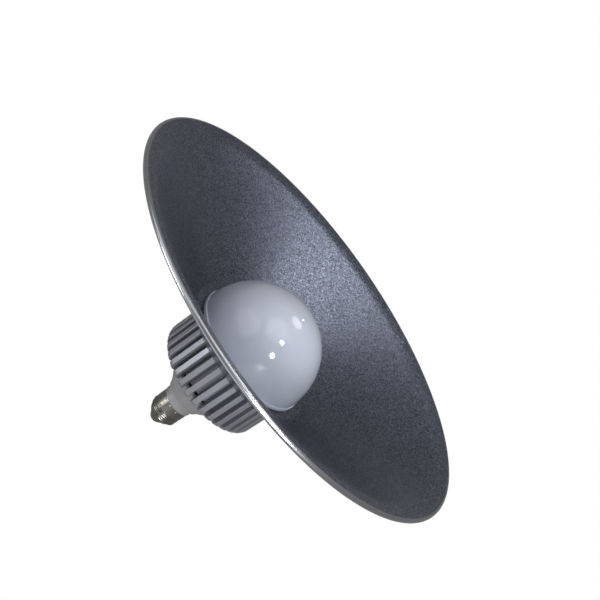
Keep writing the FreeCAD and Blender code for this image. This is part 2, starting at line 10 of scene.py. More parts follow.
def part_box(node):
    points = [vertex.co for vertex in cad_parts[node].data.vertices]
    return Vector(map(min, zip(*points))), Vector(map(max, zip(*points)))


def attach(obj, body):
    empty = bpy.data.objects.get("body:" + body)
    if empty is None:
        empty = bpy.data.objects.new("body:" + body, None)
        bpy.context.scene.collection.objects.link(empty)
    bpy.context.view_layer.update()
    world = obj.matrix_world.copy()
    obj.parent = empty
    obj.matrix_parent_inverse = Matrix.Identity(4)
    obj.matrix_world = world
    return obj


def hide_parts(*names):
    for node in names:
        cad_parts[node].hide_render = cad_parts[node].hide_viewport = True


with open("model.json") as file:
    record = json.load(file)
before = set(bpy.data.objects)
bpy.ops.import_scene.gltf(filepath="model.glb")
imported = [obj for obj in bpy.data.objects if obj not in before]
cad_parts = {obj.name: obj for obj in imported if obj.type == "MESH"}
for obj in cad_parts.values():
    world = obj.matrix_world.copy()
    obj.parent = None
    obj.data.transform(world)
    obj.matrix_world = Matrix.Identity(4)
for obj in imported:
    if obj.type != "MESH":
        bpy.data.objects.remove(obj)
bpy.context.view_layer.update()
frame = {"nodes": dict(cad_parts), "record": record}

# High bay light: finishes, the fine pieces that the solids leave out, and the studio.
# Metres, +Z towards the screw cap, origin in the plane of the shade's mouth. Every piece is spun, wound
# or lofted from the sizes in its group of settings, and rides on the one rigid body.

bl_info = {
    "name": "High bay light",
    "version": (1, 0, 0),
    "blender": (4, 5, 0),
    "location": "3D View > Sidebar > High bay",
    "description": "Builds the finished high bay light over its solids",
    "category": "Object",
}

BODY = "root"
MM = 0.001
SINK_LOW, SINK_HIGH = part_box("heat_sink")
SHELL_LOW, SHELL_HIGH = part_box("screw_shell")
LENGTH = {"unit": "LENGTH", "subtype": "DISTANCE", "precision": 5}
COLOUR = {"subtype": "COLOR", "min": 0.0, "max": 1.0}

# Directions of the screws through shade and LED board, in degrees. Those of the neck stand halfway between.
SCREW_ANGLES = (30, 150, 270)

# Fineness of the meshes
CAP_COLUMNS = 288
SKIRT_ROWS = 30
THREAD_ROWS = 72
SHADE_COLUMNS = 360
BEAD_STEPS = 54
CORE_COLUMNS = 272
HOLE_SIDES = 32


# ---------------------------------------------------------------- settings
class FinishSettings(bpy.types.PropertyGroup):
    """Colours of the surfaces in sight"""
    paint: FloatVectorProperty(
        name="Paint", description="Hammered paint of the shade", default=(0.141, 0.157, 0.203), **COLOUR)
    # The lighter metal on the bead past this radius is a painted highlight.
    highlight_metal: FloatVectorProperty(
        name="Bare metal", description="The shade's sheet where the paint is worn",
        default=(0.5, 0.52, 0.55), **COLOUR)
    highlit_from: FloatProperty(
        name="Highlit from", description="Radius past which the paint is worn", default=0.1722, **LENGTH)
    sink: FloatVectorProperty(
        name="Heat sink", description="Cast aluminium of the heat sink",
        default=(0.25, 0.26, 0.29), **COLOUR)
    housing: FloatVectorProperty(
        name="Neck housing", description="Moulded plastic of the neck",
        default=(0.21, 0.21, 0.22), **COLOUR)
    dome: FloatVectorProperty(
        name="Dome", description="Milky plastic of the dome", default=(0.46, 0.495, 0.585), **COLOUR)
    cap: FloatVectorProperty(
        name="Screw cap", description="Nickel of the screw shell", default=(0.27, 0.262, 0.235), **COLOUR)


class ShadeSettings(bpy.types.PropertyGroup):
    """Sizes of the spun shade; a bend's radius is the one on its inside"""
    radius: FloatProperty(
        name="Shade radius", description="Outer radius over the bead", default=0.175, **LENGTH)
    depth: FloatProperty(
        name="Depth", description="Mouth to the face at the heat sink", default=SINK_LOW[2], **LENGTH)
    sheet: FloatProperty(name="Sheet", description="Thickness of the sheet", default=0.001, **LENGTH)
    bead: FloatProperty(name="Bead", description="Radius of the rolled bead", default=0.002, **LENGTH)
    lip: FloatProperty(name="Lip", description="Width of the flatter lip", default=0.012, **LENGTH)
    slope: FloatProperty(
        name="Lip slope", description="Rise of the lip towards the axis",
        default=math.radians(14), subtype="ANGLE")
    lip_bend: FloatProperty(
        name="Lip bend", description="Bend between lip and flank", default=0.030, **LENGTH)
    hub_r: FloatProperty(name="Hub radius", description="Flat hub up to its bend", default=0.0603, **LENGTH)
    hub_bend: FloatProperty(
        name="Hub bend", description="Bend between hub and flank", default=0.005, **LENGTH)
    bore_r: FloatProperty(name="Bore", description="Opening in the hub", default=0.0375, **LENGTH)
    hole_r: FloatProperty(name="Hole radius", description="Screw hole", default=0.00155, **LENGTH)
    hole_circle: FloatProperty(
        name="Hole circle", description="Radius on which the screw holes stand", default=0.041, **LENGTH)


class CapSettings(bpy.types.PropertyGroup):
    """Sizes of the screw cap"""
    seat_z: FloatProperty(
        name="Skirt edge", description="Height of the skirt's edge on the neck",
        default=SHELL_LOW[2], **LENGTH)
    skirt_r: FloatProperty(
        name="Skirt radius", description="Radius of the plain skirt", default=SHELL_HIGH[0], **LENGTH)
    skirt_height: FloatProperty(
        name="Skirt height", description="Plain stretch below the thread", default=0.0082, **LENGTH)
    crest_r: FloatProperty(
        name="Crest radius", description="Thread over its crests", default=0.0131, **LENGTH)
    root_r: FloatProperty(name="Root radius", description="Thread in its roots", default=0.01195, **LENGTH)
    pitch: FloatProperty(
        name="Pitch", description="Rise of the thread in one turn", default=0.003629, **LENGTH)
    turns: FloatProperty(name="Turns", description="Turns below the closed-in end", default=2.2, min=1.0)
    run_in: FloatProperty(
        name="Run-in", description="Share of a pitch over which the skirt falls to the thread",
        default=0.35, min=0.01, max=1.0, subtype="FACTOR")
    taper: FloatProperty(
        name="Closed-in end", description="Height over which the shell closes in", default=0.0038, **LENGTH)
    end_r: FloatProperty(
        name="End radius", description="Radius at the shell's end", default=0.0098, **LENGTH)
    wall: FloatProperty(name="Wall", description="Thickness of the shell's sheet", default=0.0005, **LENGTH)
    stakes: IntProperty(
        name="Stakes", description="Punch marks that hold the skirt on the neck", default=12, min=1)
    stake_r: FloatProperty(
        name="Stake radius", description="Radius of one punch mark", default=0.0009, **LENGTH)
    stake_depth: FloatProperty(
        name="Stake depth", description="Depth of one punch mark", default=0.0004, **LENGTH)
    stake_z: FloatProperty(
        name="Stake height", description="Marks above the skirt's edge", default=0.0016, **LENGTH)


class SinkSettings(bpy.types.PropertyGroup):
    """Sizes of the heat sink"""
    seat_z: FloatProperty(
        name="Seat", description="Height of the face at the shade", default=SINK_LOW[2], **LENGTH)
    radius: FloatProperty(
        name="Flange radius", description="Outer radius of the flange", default=SINK_HIGH[0], **LENGTH)
    flange: FloatProperty(name="Flange", description="Thickness of the flange", default=0.003, **LENGTH)
    flange_edge: FloatProperty(
        name="Flange edge", description="Rounding of the flange's edges and foot", default=0.0004, **LENGTH)
    root_r: FloatProperty(name="Core radius", description="Floor of the slots", default=0.0415, **LENGTH)
    bore_r: FloatProperty(name="Core bore", description="Room for the driver cup", default=0.037, **LENGTH)
    core: FloatProperty(name="Core height", description="Height of the core", default=0.035, **LENGTH)
    disc: FloatProperty(name="Disc", description="Wall behind the LED board", default=0.005, **LENGTH)
    fins: IntProperty(name="Fins", description="Number of fins", default=35, min=3)
    rise: FloatProperty(name="Fin rise", description="Fins above the core", default=0.007, **LENGTH)
    step: FloatProperty(
        name="Fin step", description="Fins in from the flange's edge", default=0.0003, **LENGTH)
    thick: FloatProperty(name="Fin thickness", description="Fin across its tip", default=0.0042, **LENGTH)
    lean: FloatProperty(
        name="Fin lean", description="How far the fins lean in towards the cap",
        default=math.radians(0.6), subtype="ANGLE")
    draft: FloatProperty(
        name="Fin draft", description="Draft of each side of a fin",
        default=math.radians(1.0), subtype="ANGLE")
    shoulder: FloatProperty(
        name="Shoulder", description="Rounding of a fin's upper corner", default=0.0055, **LENGTH)
    edge: FloatProperty(
        name="Edge rounding", description="Rounding of a fin's edges", default=0.0007, **LENGTH)
    bed: FloatProperty(
        name="Fin bed", description="How deep the fins stand in core and flange", default=0.0005, **LENGTH)
    clear: FloatProperty(
        name="Fin clearance", description="Free edge of the fins out from the core's side",
        default=0.00005, **LENGTH)
    wire_hole_r: FloatProperty(
        name="Wire hole", description="Radius of the hole for the board's wires", default=0.0026, **LENGTH)
    hole_r: FloatProperty(
        name="Screw hole", description="Radius of the screw holes", default=0.00155, **LENGTH)
    head_r: FloatProperty(
        name="Head room", description="Radius of the recess for a neck screw's head",
        default=0.0029, **LENGTH)
    head_depth: FloatProperty(
        name="Head depth", description="Depth of that recess", default=0.0021, **LENGTH)
    disc_circle: FloatProperty(
        name="Disc circle", description="Radius on which neck and board screws stand",
        default=0.031, **LENGTH)
    board_depth: FloatProperty(
        name="Board hole depth", description="Depth of the board's screw holes", default=0.003, **LENGTH)
    shade_circle: FloatProperty(
        name="Shade circle", description="Radius on which the shade's screws stand",
        default=0.041, **LENGTH)
    shade_depth: FloatProperty(
        name="Shade hole depth", description="Depth of the shade's screw holes", default=0.0025, **LENGTH)


class StageSettings(bpy.types.PropertyGroup):
    """Camera, floor and surroundings"""
    distance: FloatProperty(
        name="Distance", description="Camera from the lamp's axis", default=0.8004, **LENGTH)
    drop: FloatProperty(name="Drop", description="Camera below the shade's mouth", default=0.2902, **LENGTH)
    pitch: FloatProperty(
        name="Pitch", description="Camera tilted upwards", default=math.radians(20.118), subtype="ANGLE")
    yaw: FloatProperty(
        name="Yaw", description="Camera turned to its right", default=math.radians(0.743), subtype="ANGLE")
    orbit: FloatProperty(
        name="Orbit", description="Camera moved round the lamp's axis",
        default=math.radians(1.1), subtype="ANGLE")
    roll: FloatProperty(
        name="Roll", description="Camera turned about its view",
        default=math.radians(124.793), subtype="ANGLE")
    lens: FloatProperty(
        name="Lens", description="Focal length on a 36 mm sensor", default=68.608, unit="CAMERA")
    floor_z: FloatProperty(name="Floor", description="Height of the pale floor", default=-1.6, **LENGTH)
    floor_size: FloatProperty(
        name="Floor size", description="Half the width of the floor", default=12.0, **LENGTH)
    ambient: FloatProperty(
        name="Ambient", description="White surroundings as matt surfaces get them", default=0.34, min=0.0)
    mirrored: FloatProperty(
        name="Mirrored", description="White surroundings as glossy surfaces get them",
        default=0.25, min=0.0)


# ---------------------------------------------------------------- mesh helpers
def to_mesh(name, bm, sharp):
    """Turns a bmesh into a mesh that is smooth except along edges sharper than an angle in degrees."""
    bmesh.ops.recalc_face_normals(bm, faces=bm.faces)
    mesh = bpy.data.meshes.new(name)
    bm.to_mesh(mesh)
    bm.free()
    mesh.shade_smooth()
    mesh.set_sharp_from_angle(angle=math.radians(sharp))
    return mesh


def put(name, bm, sharp, slot, node):
    """A piece that rides on the body, wears a slot's finish and stands for a node of the solids."""
    piece = bpy.data.objects.new(name, to_mesh(name, bm, sharp))
    bpy.context.scene.collection.objects.link(piece)
    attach(piece, BODY)
    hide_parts(node)
    piece.data.materials.append(bpy.data.materials[slot + "_finish"])
    return piece


def arc(centre, radius, start, end, steps):
    """Points of a section's arc, angles in degrees."""
    angles = (math.radians(start + (end - start) * step / steps) for step in range(steps + 1))
    return [(centre[0] + radius * math.cos(a), centre[1] + radius * math.sin(a)) for a in angles]


def bend(before, corner, after, radius, steps):
    """Points of the arc that rounds a section's corner."""
    before, corner, after = Vector(before), Vector(corner), Vector(after)
    back, ahead = (before - corner).normalized(), (after - corner).normalized()
    half = back.angle(ahead) / 2
    centre = corner + (back + ahead).normalized() * radius / math.sin(half)
    first = corner + back * radius / math.tan(half) - centre
    last = corner + ahead * radius / math.tan(half) - centre
    turn = math.atan2(first.x * last.y - first.y * last.x, first.dot(last))
    start = math.atan2(first.y, first.x)
    angles = (start + turn * step / steps for step in range(steps + 1))
    return [(centre.x + radius * math.cos(a), centre.y + radius * math.sin(a)) for a in angles]


def wrap_surface(bm, rows, columns, place):
    """Quads through place(row, column), closed along the rows and round the axis."""
    verts = [[bm.verts.new(place(row, column)) for column in range(columns)] for row in range(rows)]
    for row in range(rows):
        upper = (row + 1) % rows
        for column in range(columns):
            after = (column + 1) % columns
            bm.faces.new((verts[row][column], verts[row][after], verts[upper][after], verts[upper][column]))


def spin(bm, section, columns):
    """Spins a closed section of (radius, height) points about the axis."""
    def place(row, column):
        radius, height = section[row]
        angle = math.tau * (column + 0.5) / columns
        return radius * math.cos(angle), radius * math.sin(angle), height
    wrap_surface(bm, len(section), columns, place)


def prism(bm, first, second):
    """A closed block between two rings of as many points."""
    bm.faces.new(first)
    bm.faces.new(second)
    for step in range(len(first)):
        after = (step + 1) % len(first)
        bm.faces.new((first[step], first[after], second[after], second[step]))


def drill(piece, holes):
    """Cuts upright holes, each (radius, low, high, circle, angle in degrees), out of a piece."""
    bm = bmesh.new()
    sides = [math.tau * side / HOLE_SIDES for side in range(HOLE_SIDES)]
    for radius, low, high, circle, angle in holes:
        place = Matrix.Rotation(math.radians(angle), 3, "Z") @ Vector((circle, 0, 0))
        lower, upper = (
            [bm.verts.new(place + Vector((radius * math.cos(a), radius * math.sin(a), z))) for a in sides]
            for z in (low, high)
        )
        prism(bm, lower, upper)
    cutter = bpy.data.objects.new("cutter", to_mesh("cutter", bm, 30))
    bpy.context.scene.collection.objects.link(cutter)
    cut = piece.modifiers.new("holes", "BOOLEAN")
    cut.operation = "DIFFERENCE"
    cut.solver = "EXACT"
    cut.object = cutter
    graph = bpy.context.evaluated_depsgraph_get()
    drilled = bpy.data.meshes.new_from_object(piece.evaluated_get(graph))
    piece.modifiers.remove(cut)
    undrilled = piece.data
    piece.data = drilled
    bpy.data.meshes.remove(undrilled)
    bpy.data.objects.remove(cutter)


# ---------------------------------------------------------------- node helpers
def new_group(name, inputs, outputs):
    """An empty shader group with its inputs (name, kind, default) and outputs (name, kind)."""
    group = bpy.data.node_groups.new(name, "ShaderNodeTree")
    for label, kind, value in inputs:
        socket = group.interface.new_socket(label, in_out="INPUT", socket_type=kind)
        socket.default_value = value
    for label, kind in outputs:
        group.interface.new_socket(label, in_out="OUTPUT", socket_type=kind)
    return group, group.nodes.new("NodeGroupInput"), group.nodes.new("NodeGroupOutput")


def add(tree, kind, **values):
    """A node whose settings and input defaults come from keywords."""
    node = tree.nodes.new(kind)
    for key, value in values.items():
        if hasattr(node, key):
            setattr(node, key, value)
        else:
            node.inputs[key.replace("_", " ")].default_value = value
    return node


def feed(tree, value, socket):
    """Links a socket into another, or sets a plain value on it."""
    if isinstance(value, bpy.types.NodeSocket):
        tree.links.new(value, socket)
    else:
        socket.default_value = value


def compute(tree, operation, *values):
    """Result of a Math node on values or sockets."""
    node = add(tree, "ShaderNodeMath", operation=operation)
    for index, value in enumerate(values):
        feed(tree, value, node.inputs[index])
    return node.outputs[0]


def scaled(tree, color, factor):
    """A colour made lighter or darker by a factor."""
    node = add(tree, "ShaderNodeVectorMath", operation="SCALE")
    feed(tree, color, node.inputs[0])
    feed(tree, factor, node.inputs["Scale"])
    return node.outputs[0]


def noise(tree, where, scale, detail):
    """Noise over the places in where, about 0.5 in the mean."""
    node = add(tree, "ShaderNodeTexNoise", Detail=detail)
    feed(tree, where, node.inputs["Vector"])
    feed(tree, scale, node.inputs["Scale"])
    return node.outputs["Fac"]


def span(tree, value, low, high, out_low, out_high):
    """value remapped from low..high to out_low..out_high and clamped."""
    node = add(tree, "ShaderNodeMapRange", clamp=True)
    feed(tree, value, node.inputs["Value"])
    for label, end in (("From Min", low), ("From Max", high), ("To Min", out_low), ("To Max", out_high)):
        feed(tree, end, node.inputs[label])
    return node.outputs["Result"]


# ---------------------------------------------------------------- node groups
SURFACE_OUTPUTS = (
    ("Color", "NodeSocketColor"), ("Roughness", "NodeSocketFloat"), ("Height", "NodeSocketFloat"),
)


def make_uneven_group():
    """Uneven colour, roughness and height for a cast, moulded or painted surface."""
    group, entry, end = new_group(
        "Uneven surface",
        (
            ("Color", "NodeSocketColor", (0.5, 0.5, 0.5, 1.0)), ("Shade", "NodeSocketFloat", 0.1),
            ("Roughness", "NodeSocketFloat", 0.5), ("Spread", "NodeSocketFloat", 0.1),
            ("Scale", "NodeSocketFloat", 400.0),
        ),
        SURFACE_OUTPUTS,
    )
    given = entry.outputs
    where = group.nodes.new("ShaderNodeTexCoord").outputs["Object"]
    fine = noise(group, where, given["Scale"], 3.0)
    broad = noise(group, where, 25.0, 2.0)
    unevenness = span(group, compute(group, "MULTIPLY_ADD", fine, 0.5, broad), 0.5, 1.0, -1.0, 1.0)
    shading = compute(group, "MULTIPLY_ADD", unevenness, given["Shade"], 1.0)
    rough = compute(group, "MULTIPLY_ADD", unevenness, given["Spread"], given["Roughness"])
    feed(group, scaled(group, given["Color"], shading), end.inputs["Color"])
    feed(group, rough, end.inputs["Roughness"])
    feed(group, fine, end.inputs["Height"])


def make_hammer_group():
    """Hammered paint: flakes that differ in tint and gloss, orange peel, and a rim in lighter, glossier
    metal that paints the bead's highlight.
    """
    group, entry, end = new_group(
        "Hammered paint",
        (
            ("Color", "NodeSocketColor", (0.3, 0.3, 0.3, 1.0)), ("Roughness", "NodeSocketFloat", 0.3),
            ("Bare", "NodeSocketColor", (0.6, 0.6, 0.6, 1.0)), ("Flake", "NodeSocketFloat", 0.4),
            ("Sparkle", "NodeSocketFloat", 0.05), ("Scale", "NodeSocketFloat", 900.0),
            ("Rim", "NodeSocketFloat", 0.17),
        ),
        SURFACE_OUTPUTS,
    )
    given = entry.outputs
    where = group.nodes.new("ShaderNodeTexCoord").outputs["Object"]
    peel = noise(group, where, given["Scale"], 1.0)
    cells = group.nodes.new("ShaderNodeTexVoronoi")
    feed(group, where, cells.inputs["Vector"])
    feed(group, given["Scale"], cells.inputs["Scale"])
    flakes = group.nodes.new("ShaderNodeSeparateColor")
    feed(group, cells.outputs["Color"], flakes.inputs[0])
    tone, shine = (span(group, flakes.outputs[channel], 0.0, 1.0, -1.0, 1.0) for channel in (0, 1))
    tint = scaled(group, given["Color"], compute(group, "MULTIPLY_ADD", tone, given["Flake"], 1.0))

    # Over the millimetre past the rim's radius, the paint gives way to lighter, glossier metal: a painted
    # highlight on the bead.
    flat = add(group, "ShaderNodeVectorMath", operation="MULTIPLY")
    feed(group, where, flat.inputs[0])
    flat.inputs[1].default_value = (1, 1, 0)
    radius = add(group, "ShaderNodeVectorMath", operation="LENGTH")
    feed(group, flat.outputs[0], radius.inputs[0])
    past = compute(group, "SUBTRACT", radius.outputs["Value"], given["Rim"])
    # The first mask marks where the bead's highlight is painted in lighter metal; the polish mask lowers
    # the roughness there.
    highlit, paint, polish = (
        span(group, past, 0.0, MM, *ends) for ends in ((0.0, 1.0), (1.0, 0.0), (1.0, 0.7))
    )

    # Mixes the paint towards the lighter metal that paints the bead's highlight.
    coat = add(group, "ShaderNodeMix", data_type="RGBA")
    feed(group, highlit, coat.inputs["Factor"])
    feed(group, tint, coat.inputs[6])
    feed(group, given["Bare"], coat.inputs[7])
    sparkle = compute(group, "MULTIPLY", given["Sparkle"], paint)
    gloss = compute(group, "MULTIPLY_ADD", shine, sparkle, given["Roughness"])
    feed(group, coat.outputs[2], end.inputs["Color"])
    feed(group, compute(group, "MULTIPLY", gloss, polish), end.inputs["Roughness"])
    feed(group, compute(group, "MULTIPLY", peel, paint), end.inputs["Height"])


# ---------------------------------------------------------------- materials
FINISHES = {
    # slot: colour or the setting that holds it, unevenness of colour, roughness, its spread, grain scale,
    # relief, shader settings
    "cap_nickel": ("cap", 0.12, 0.27, 0.08, 500.0, 0.00001, {"Metallic": 1.0}),
    "cap_glass": ((0.05, 0.047, 0.042), 0.2, 0.15, 0.05, 300.0, 0.00001, {}),
    "housing_plastic": ("housing", 0.05, 0.42, 0.05, 900.0, 0.00001, {}),
    "sink_aluminium": ("sink", 0.08, 0.42, 0.05, 1200.0, 0.00003, {"Metallic": 0.6}),
    "driver_plastic": ((0.66, 0.66, 0.62), 0.05, 0.5, 0.05, 500.0, 0.00001, {}),
    "screw_steel": ((0.5, 0.5, 0.5), 0.1, 0.32, 0.08, 800.0, 0.00001, {"Metallic": 1.0}),
    "board_laminate": ((0.03, 0.13, 0.045), 0.12, 0.4, 0.06, 300.0, 0.00001, {}),
    "ferrite": ((0.02, 0.02, 0.02), 0.2, 0.6, 0.1, 900.0, 0.00002, {}),
    "winding_tape": ((0.62, 0.4, 0.04), 0.08, 0.28, 0.06, 300.0, 0.00001, {}),
    "can_sleeve": ((0.015, 0.018, 0.035), 0.15, 0.25, 0.05, 300.0, 0.00001, {}),
    "moulding_black": ((0.015, 0.015, 0.015), 0.2, 0.5, 0.08, 900.0, 0.00001, {}),
    "resistor_body": ((0.14, 0.27, 0.34), 0.1, 0.35, 0.06, 600.0, 0.00001, {}),
    "wire_red": ((0.33, 0.012, 0.01), 0.08, 0.4, 0.05, 500.0, 0.00001, {}),
    "wire_black": ((0.012, 0.012, 0.012), 0.15, 0.4, 0.05, 500.0, 0.00001, {}),
    "pad_silicone": ((0.45, 0.46, 0.48), 0.06, 0.65, 0.06, 700.0, 0.00002, {}),
    "led_board_white": ((0.78, 0.78, 0.77), 0.04, 0.35, 0.05, 400.0, 0.00001, {}),
    "led_phosphor": ((0.8, 0.5, 0.06), 0.1, 0.3, 0.05, 900.0, 0.00001, {}),
    "dome_milk": (
        "dome", 0.02, 0.08, 0.02, 200.0, 0.000002,
        {"Subsurface_Weight": 0.5, "Subsurface_Scale": 0.008, "Subsurface_Radius": (1, 1, 1),
         "Coat_Weight": 0.4, "Coat_Roughness": 0.05},
    ),
}


def new_material(name, **shader):
    """A material with uniform values set on the sockets of its Principled shader."""
    material = bpy.data.materials.new(name)
    material.use_nodes = True
    principled = material.node_tree.nodes["Principled BSDF"]
    for label, value in shader.items():
        principled.inputs[label.replace("_", " ")].default_value = value
    return material


def uneven_surface(tree, color, shade, rough, spread, scale):
    """The uneven surface group, placed in a material with its own values."""
    return add(
        tree, "ShaderNodeGroup", node_tree=bpy.data.node_groups["Uneven surface"],
        Color=(*color, 1.0), Shade=shade, Roughness=rough, Spread=spread, Scale=scale,
    )


def dress(tree, surface, relief):
    """Feeds a surface group into the Principled shader, with its height as relief. Returns the bump."""
    principled = tree.nodes["Principled BSDF"]
    bump = add(tree, "ShaderNodeBump", Strength=1.0, Distance=relief)
    feed(tree, surface.outputs["Height"], bump.inputs["Height"])
    feed(tree, surface.outputs["Color"], principled.inputs["Base Color"])
    feed(tree, surface.outputs["Roughness"], principled.inputs["Roughness"])
    feed(tree, bump.outputs["Normal"], principled.inputs["Normal"])
    return bump


def uneven_material(name, color, shade, rough, spread, scale, relief, **shader):
    """A material that wears the uneven surface group."""
    material = new_material(name, **shader)
    tree = material.node_tree
    dress(tree, uneven_surface(tree, color, shade, rough, spread, scale), relief)
    return material


def paint_material(tints):
    """Slate-grey hammered paint with metal flake under a clear coat."""
    material = new_material("shade_paint_finish", Metallic=1.0, Coat_Weight=0.1, Coat_Roughness=0.15)
    tree = material.node_tree
    uneven = uneven_surface(tree, tints.paint, 0.05, 0.33, 0.01, 60.0)
    # The lighter metal colour given to the hammer group paints the bead's highlight past the rim's radius.
    hammer = add(
        tree, "ShaderNodeGroup", node_tree=bpy.data.node_groups["Hammered paint"],
        Bare=(*tints.highlight_metal, 1.0), Rim=tints.highlit_from, Flake=0.55, Sparkle=0.22, Scale=1500.0,
    )
    for label in ("Color", "Roughness"):
        feed(tree, uneven.outputs[label], hammer.inputs[label])
    bump = dress(tree, hammer, 0.00009)
    feed(tree, bump.outputs["Normal"], tree.nodes["Principled BSDF"].inputs["Coat Normal"])
    return material


def finish_solids(tints):
    """Gives every solid the procedural finish of its slot."""
    made = {"shade_paint": paint_material(tints)}
    for slot, (color, *values, shader) in FINISHES.items():
        tint = getattr(tints, color) if isinstance(color, str) else color
        made[slot] = uneven_material(slot + "_finish", tint, *values, **shader)
    for row in frame["record"]["subparts"]:
        for holder in frame["nodes"][row["node"]].material_slots:
            holder.material = made[row["material_slot"]]


# ---------------------------------------------------------------- pieces
def build_shade(shade):
    """The spun shade: hub, flank, lip and rolled bead as one sheet, with its screw holes."""
    slope = shade.slope
    inwards = Vector((-math.cos(slope), math.sin(slope)))
    outwards = Vector((math.sin(slope), math.cos(slope)))
    centre = (shade.radius - shade.bead, shade.bead)
    wrap = math.acos(1 - shade.sheet / shade.bead)
    start = -90 - math.degrees(slope)
    roll = arc(centre, shade.bead, start, start + 360 - math.degrees(wrap), BEAD_STEPS)

    face = shade.depth - shade.sheet
    knee = Vector(roll[0]) + inwards * shade.lip
    hub = Vector((shade.hub_r, face))
    rise = math.atan2(hub.y - knee.y, knee.x - hub.x)
    outer_hub = Vector((shade.hub_r + shade.sheet * math.tan(rise / 2), shade.depth))
    outer_knee = knee + outwards * shade.sheet - inwards * shade.sheet * math.tan((rise - slope) / 2)
    bore, outer_bore = (shade.bore_r, face), (shade.bore_r, shade.depth)

    section = [bore]
    section += bend(bore, hub, knee, shade.hub_bend, 8)
    section += bend(hub, knee, roll[0], shade.lip_bend + shade.sheet, 12)
    section += roll
    section += bend(roll[-1], outer_knee, outer_hub, shade.lip_bend, 12)
    section += bend(outer_knee, outer_hub, outer_bore, shade.hub_bend + shade.sheet, 8)
    section += [outer_bore]
    bm = bmesh.new()
    spin(bm, section, SHADE_COLUMNS)
    piece = put("reflector_shade_spun", bm, 35, "shade_paint", "reflector_shade")
    drill(piece, [
        (shade.hole_r, face - MM, shade.depth + MM, shade.hole_circle, angle) for angle in SCREW_ANGLES
    ])


def thread_radius(cap, angle, z):
    """Outside of the shell above its skirt: run-in, wound thread, then the closed-in end."""
    start = cap.seat_z + cap.skirt_height
    taper = start + cap.turns * cap.pitch
    mean, swing = (cap.crest_r + cap.root_r) / 2, (cap.crest_r - cap.root_r) / 2
    wound = mean - swing * math.cos(math.tau * ((z - start) / cap.pitch - angle / math.tau))
    fading = max(0.0, 1 - ((z - start) / (cap.run_in * cap.pitch)) ** 2)
    run_in = cap.root_r + (cap.skirt_r - cap.root_r) * fading
    limit = cap.skirt_r
    if z > taper:
        limit = cap.root_r + (cap.end_r - cap.root_r) * (z - taper) / cap.taper + cap.wall / 4
    return min(max(wound, run_in), limit)


def build_cap(cap):
    """Screw shell with a right-hand thread wound in its sheet and punch marks in its skirt."""
    start = cap.seat_z + cap.skirt_height
    taper = start + cap.turns * cap.pitch
    top = taper + cap.taper
    heights = [cap.seat_z + cap.skirt_height * row / SKIRT_ROWS for row in range(SKIRT_ROWS + 1)]
    heights += [start + (top - start) * row / THREAD_ROWS for row in range(1, THREAD_ROWS + 1)]
    lining = cap.skirt_r - 2 * cap.stake_depth
    inside = [
        (cap.end_r - cap.wall, top), (cap.root_r - cap.wall, taper),
        (cap.root_r - cap.wall, start - cap.wall), (lining, start - cap.wall), (lining, cap.seat_z),
    ]

    def outer_radius(angle, z):
        if z > start:
            return thread_radius(cap, angle, z)
        nearest = round(angle * cap.stakes / math.tau) * math.tau / cap.stakes
        across = math.hypot((angle - nearest) * cap.skirt_r, z - cap.seat_z - cap.stake_z)
        if across > cap.stake_r:
            return cap.skirt_r
        return cap.skirt_r - cap.stake_depth * (math.cos(math.pi * across / cap.stake_r) + 1) / 2

    def place(row, column):
        angle = math.tau * column / CAP_COLUMNS
        if row < len(heights):
            z = heights[row]
            radius = outer_radius(angle, z)
        else:
            radius, z = inside[row - len(heights)]
        return radius * math.cos(angle), radius * math.sin(angle), z

    bm = bmesh.new()
    wrap_surface(bm, len(heights) + len(inside), CAP_COLUMNS, place)
    put("screw_shell_wound", bm, 50, "cap_nickel", "screw_shell")


def build_fins(sink):
    """Ring of drafted fins with round shoulders and rounded edges."""
    tip = sink.radius - sink.step
    foot = sink.seat_z + sink.bed
    core_top = sink.seat_z + sink.core
    top = core_top + sink.rise
    shoulder_z = top - sink.shoulder
    shoulder_r = tip - math.tan(sink.lean) * (shoulder_z - sink.seat_z)
    inner = sink.root_r - sink.bed
    free = sink.root_r + sink.clear
    section = [(inner, foot), (tip - math.tan(sink.lean) * sink.bed, foot)]
    section += arc((shoulder_r - sink.shoulder, shoulder_z), sink.shoulder, 0, 90, 8)
    section += [(free, top), (free, core_top - sink.bed), (inner, core_top - sink.bed)]

    def half(radius):
        return sink.thick / 2 + (tip - radius) * math.tan(sink.draft)

    bm = bmesh.new()
    for index in range(sink.fins):
        turn = Matrix.Rotation(math.tau * index / sink.fins - math.pi / 2, 3, "Z")
        left, right = (
            [bm.verts.new(turn @ Vector((radius, side * half(radius), z))) for radius, z in section]
            for side in (-1, 1)
        )
        prism(bm, left, right)
    piece = put("heat_sink_fins", bm, 60, "sink_aluminium", "heat_sink")
    bevel = piece.modifiers.new("edge", "BEVEL")
    bevel.width = sink.edge
    bevel.segments = 3
    bevel.limit_method = "ANGLE"
    bevel.angle_limit = math.radians(40)
    bevel.use_clamp_overlap = True


